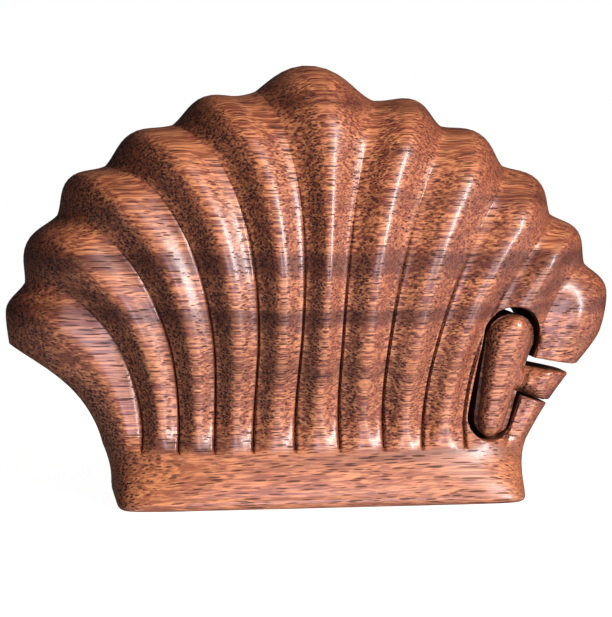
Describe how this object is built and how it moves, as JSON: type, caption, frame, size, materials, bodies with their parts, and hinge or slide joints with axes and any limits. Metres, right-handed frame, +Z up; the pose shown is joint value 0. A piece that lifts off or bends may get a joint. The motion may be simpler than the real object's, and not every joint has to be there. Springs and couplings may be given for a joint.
{
  "type": "puzzle box",
  "caption": "Carved hardwood puzzle box in the form of a fluted scallop shell on a foot bar; a sliding T-shaped key locks its front lid to the hollow back.",
  "frame": {"origin": "on the flat underside of the foot bar, in the shell's widest plane, at the middle of its width", "axes": "+X to the right seen from the front, -Y out of the fluted front, +Z up"},
  "size_m": [0.151, 0.0482, 0.1073],
  "materials": {
    "lacquered_hardwood": "red-brown open-pored hardwood, hand carved, under glossy clear lacquer"
  },
  "bodies": {
    "box": {"shell_front": "lacquered_hardwood", "shell_back": "lacquered_hardwood"},
    "key": {"key": "lacquered_hardwood"}
  },
  "joints": [
    {"name": "key_slide", "type": "slide", "parent": "box", "child": "key", "axis": [0, -1, 0], "range_m": [0, 0.034]}
  ]
}
